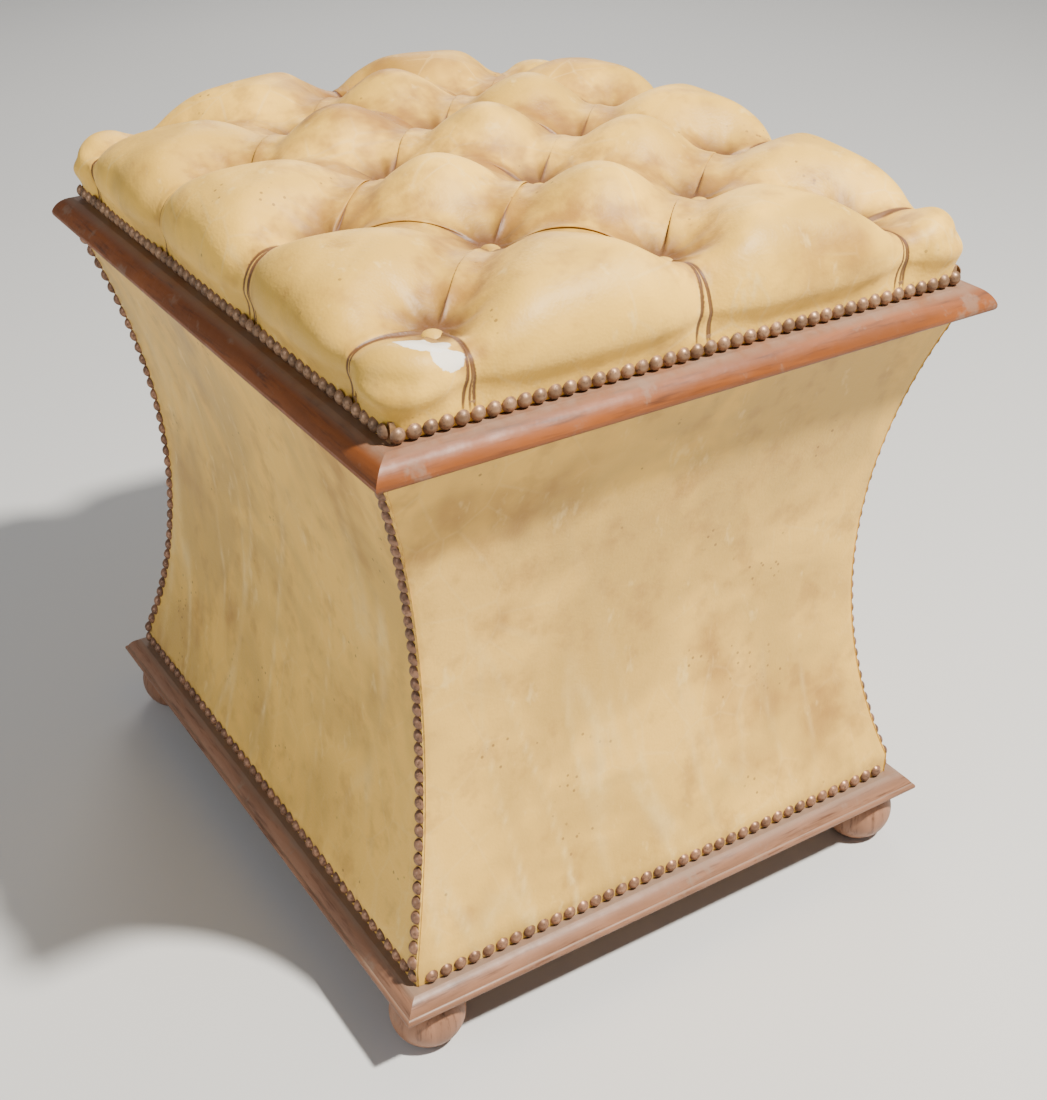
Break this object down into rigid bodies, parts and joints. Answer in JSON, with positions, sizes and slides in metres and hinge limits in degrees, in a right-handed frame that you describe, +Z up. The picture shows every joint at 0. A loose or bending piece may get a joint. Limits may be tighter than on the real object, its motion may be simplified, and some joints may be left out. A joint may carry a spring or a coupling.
{
  "type": "storage ottoman",
  "caption": "Waisted box ottoman with a hinged deep-buttoned leather cushion lid, mitred wooden mouldings, nailed leather sides and ball feet.",
  "frame": {"origin": "on the floor under the middle of the box, between the four feet", "axes": "+Z up, -Y towards the front, the lid hinges along the back (+Y), -X towards the left-hand side"},
  "size_m": [0.438, 0.5125, 0.5374],
  "materials": {
    "carcase_pine": "sawn pine, unfinished",
    "frame_wood": "sawn hardwood, unfinished",
    "side_leather": "aged tan-gold hide, low satin",
    "cushion_leather": "aged tan-gold hide, worn satin",
    "stuffing": "horsehair under wadding",
    "webbing": "woven jute",
    "lining_cloth": "plain woven cotton",
    "box_nails": "dull antique bronze",
    "lid_nails": "antique bronze, rubbed bright on top",
    "hinge_brass": "satin brass",
    "mahogany": "worn red-brown polish with grey bloom"
  },
  "bodies": {
    "box": {"floor_board": "carcase_pine", "front_panel": "carcase_pine", "back_panel": "carcase_pine", "left_panel": "carcase_pine", "right_panel": "carcase_pine", "well_lining": "lining_cloth", "base_rail_front": "frame_wood", "base_rail_back": "frame_wood", "base_rail_left": "frame_wood", "base_rail_right": "frame_wood", "top_rail_front": "frame_wood", "top_rail_back": "frame_wood", "top_rail_left": "frame_wood", "top_rail_right": "frame_wood", "corner_post_front_left": "frame_wood", "corner_post_front_right": "frame_wood", "corner_post_back_left": "frame_wood", "corner_post_back_right": "frame_wood", "ribs_front_and_back": "frame_wood", "ribs_left_and_right": "frame_wood", "front_cover": "side_leather", "back_cover": "side_leather", "left_cover": "side_leather", "right_cover": "side_leather", "plinth_front": "mahogany", "plinth_back": "mahogany", "plinth_left": "mahogany", "plinth_right": "mahogany", "foot_front_left": "mahogany", "foot_front_right": "mahogany", "foot_back_left": "mahogany", "foot_back_right": "mahogany", "plinth_nails": "box_nails", "edge_nails": "box_nails", "hinge_leaf_box_left": "hinge_brass", "hinge_leaf_box_right": "hinge_brass", "hinge_pins": "hinge_brass", "hinge_screws_box": "hinge_brass"},
    "lid": {"lid_rail_front": "frame_wood", "lid_rail_back": "frame_wood", "lid_rail_left": "frame_wood", "lid_rail_right": "frame_wood", "lid_webbing": "webbing", "lid_lining": "lining_cloth", "lid_moulding_front": "mahogany", "lid_moulding_back": "mahogany", "lid_moulding_left": "mahogany", "lid_moulding_right": "mahogany", "cushion_stuffing": "stuffing", "cushion_cover": "cushion_leather", "cushion_buttons": "cushion_leather", "lid_nails": "lid_nails", "hinge_leaf_lid_left": "hinge_brass", "hinge_leaf_lid_right": "hinge_brass", "hinge_screws_lid": "hinge_brass"}
  },
  "joints": [
    {"name": "lid_hinge", "type": "hinge", "parent": "box", "child": "lid", "pos_m": [0, 0.2432, 0.4312], "axis": [-1, 0, 0], "range_deg": [0, 105]}
  ]
}
